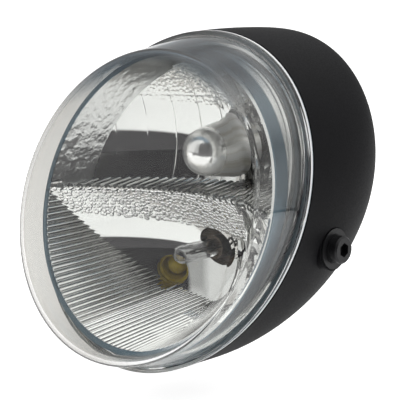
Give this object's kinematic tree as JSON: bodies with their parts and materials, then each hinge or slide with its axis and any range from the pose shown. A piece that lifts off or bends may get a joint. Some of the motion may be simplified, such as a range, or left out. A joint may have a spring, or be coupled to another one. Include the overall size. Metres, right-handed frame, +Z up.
{
  "type": "motorcycle headlight",
  "caption": "Round motorcycle headlight with a raked clear lens, stacked mirror reflector with fluted skirt, matt black bowl housing and side pivot bolts.",
  "frame": {"origin": "middle of the line through the two side bolts, about which the lamp tilts in its bracket", "axes": "+X along the side bolts to the right of a viewer who stands before the lamp, +Y from the lens to the back of the housing, +Z up"},
  "size_m": [0.1664, 0.14, 0.1571],
  "materials": {
    "housing_black": "matt black",
    "lens_clear": "clear, polished",
    "seal_rubber": "matt",
    "reflector_silver": "metallised, bright",
    "shield_chrome": "polished",
    "bulb_glass": "clear",
    "filament_metal": "drawn wire",
    "bulb_base_steel": "pressed sheet",
    "blade_brass": "bright",
    "plug_black": "matt",
    "clip_steel": "drawn wire",
    "holder_plastic": "satin",
    "bolt_black": "black oxide",
    "washer_steel": "plated",
    "grommet_rubber": "matt"
  },
  "bodies": {
    "root": {"bulb_shield": "shield_chrome", "cable_grommet": "grommet_rubber", "flat_washer_left": "washer_steel", "flat_washer_right": "washer_steel", "housing": "housing_black", "lens": "lens_clear", "lens_seal": "seal_rubber", "lower_blade_left": "blade_brass", "lower_blade_right": "blade_brass", "lower_bulb_base": "bulb_base_steel", "lower_bulb_filament": "filament_metal", "lower_bulb_glass": "bulb_glass", "lower_clip": "clip_steel", "lower_plug": "plug_black", "position_bulb_filament": "filament_metal", "position_bulb_glass": "bulb_glass", "position_holder": "holder_plastic", "reflector": "reflector_silver", "side_bolt_left": "bolt_black", "side_bolt_right": "bolt_black", "side_nut_left": "washer_steel", "side_nut_right": "washer_steel", "spring_washer_left": "washer_steel", "spring_washer_right": "washer_steel", "upper_blade_left": "blade_brass", "upper_blade_right": "blade_brass", "upper_bulb_base": "bulb_base_steel", "upper_bulb_filament": "filament_metal", "upper_bulb_glass": "bulb_glass", "upper_clip": "clip_steel", "upper_plug": "plug_black"}
  },
  "joints": []
}
